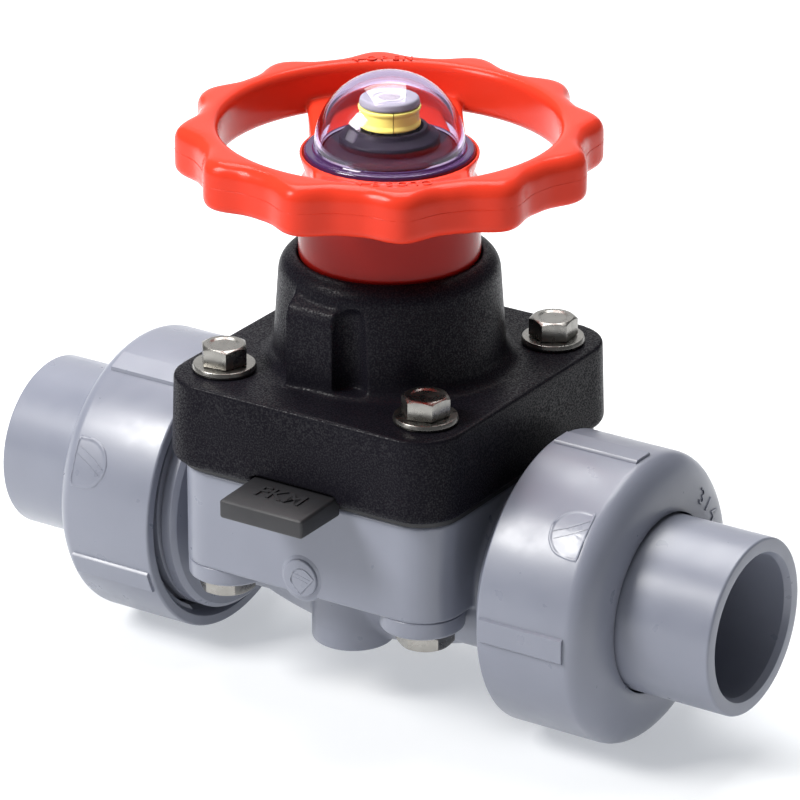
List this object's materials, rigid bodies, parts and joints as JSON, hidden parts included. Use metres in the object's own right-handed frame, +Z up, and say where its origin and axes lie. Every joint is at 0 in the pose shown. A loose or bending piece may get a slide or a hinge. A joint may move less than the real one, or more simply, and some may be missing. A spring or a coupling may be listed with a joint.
{
  "type": "diaphragm valve",
  "caption": "Plastic true-union diaphragm valve with a lobed non-rising handwheel, a clear indicator dome and glue-in pipe sockets.",
  "frame": {"origin": "where the pipe's flow axis crosses the stem's axis", "axes": "+X along the flow axis towards one pipe socket, +Z up the stem, -Y on the side where the diaphragm's tab sticks out"},
  "size_m": [0.1566, 0.0821, 0.119],
  "materials": {
    "grey_pvc": "light blue-grey moulded plastic, satin gloss",
    "black_pp": "black glass-filled plastic, fine moulded grain",
    "red_abs": "semi-gloss red moulded plastic",
    "clear_dome": "clear plastic with a faint violet tint",
    "rubber": "charcoal moulded rubber",
    "stainless": "bright stainless steel",
    "brass": "turned brass",
    "indicator_yellow": "bright yellow plastic",
    "cap_grey": "mid grey plastic"
  },
  "bodies": {
    "valve": {"valve_body": "grey_pvc", "bonnet": "black_pp", "diaphragm": "rubber", "boss_insert_1": "brass", "boss_insert_2": "brass", "left_face_seal": "rubber", "right_face_seal": "rubber", "lower_thrust_washer": "brass", "upper_thrust_washer": "brass", "bonnet_bolt_1": "stainless", "bonnet_bolt_2": "stainless", "bonnet_bolt_3": "stainless", "bonnet_bolt_4": "stainless", "bolt_washer_1": "stainless", "bolt_washer_2": "stainless", "bolt_washer_3": "stainless", "bolt_washer_4": "stainless", "bolt_nut_1": "stainless", "bolt_nut_2": "stainless", "bolt_nut_3": "stainless", "bolt_nut_4": "stainless"},
    "stem_set": {"stem": "stainless", "compressor": "black_pp", "compressor_pin": "stainless", "diaphragm_stud": "brass", "indicator_band": "indicator_yellow", "indicator_cap": "cap_grey", "indicator_screw": "stainless"},
    "wheel_set": {"handwheel": "red_abs", "stem_nut": "brass", "drive_key": "stainless", "indicator_housing": "black_pp", "dome": "clear_dome", "dome_seal": "rubber", "hub_seal": "rubber"},
    "right_tail": {"right_end_connector": "grey_pvc"},
    "right_nut": {"right_union_nut": "grey_pvc"},
    "left_tail": {"left_end_connector": "grey_pvc"},
    "left_nut": {"left_union_nut": "grey_pvc"}
  },
  "joints": [
    {"name": "handwheel_turn", "type": "hinge", "parent": "valve", "child": "wheel_set", "pos_m": [0, 0, 0.077], "axis": [0, 0, 1], "range_deg": [-1260, 0]},
    {"name": "stem_lift", "type": "slide", "parent": "valve", "child": "stem_set", "axis": [0, 0, 1], "range_m": [-0.00705, 0], "deforming": ["diaphragm"]},
    {"name": "right_tail_slide", "type": "slide", "parent": "valve", "child": "right_tail", "axis": [1, 0, 0], "range_m": [0, 0.0121]},
    {"name": "right_nut_turn", "type": "hinge", "parent": "right_tail", "child": "right_nut", "pos_m": [0.048, 0, 0], "axis": [1, 0, 0], "range_deg": [0, 1080]},
    {"name": "left_tail_slide", "type": "slide", "parent": "valve", "child": "left_tail", "axis": [-1, 0, 0], "range_m": [0, 0.0121]},
    {"name": "left_nut_turn", "type": "hinge", "parent": "left_tail", "child": "left_nut", "pos_m": [-0.048, 0, 0], "axis": [-1, 0, 0], "range_deg": [0, 1080]}
  ],
  "couplings": [
    {"joint": "stem_lift", "follows": "handwheel_turn", "m_per_rad": 0.00031831},
    {"joint": "right_tail_slide", "follows": "right_nut_turn", "m_per_rad": 0.00063662},
    {"joint": "left_tail_slide", "follows": "left_nut_turn", "m_per_rad": 0.00063662}
  ]
}
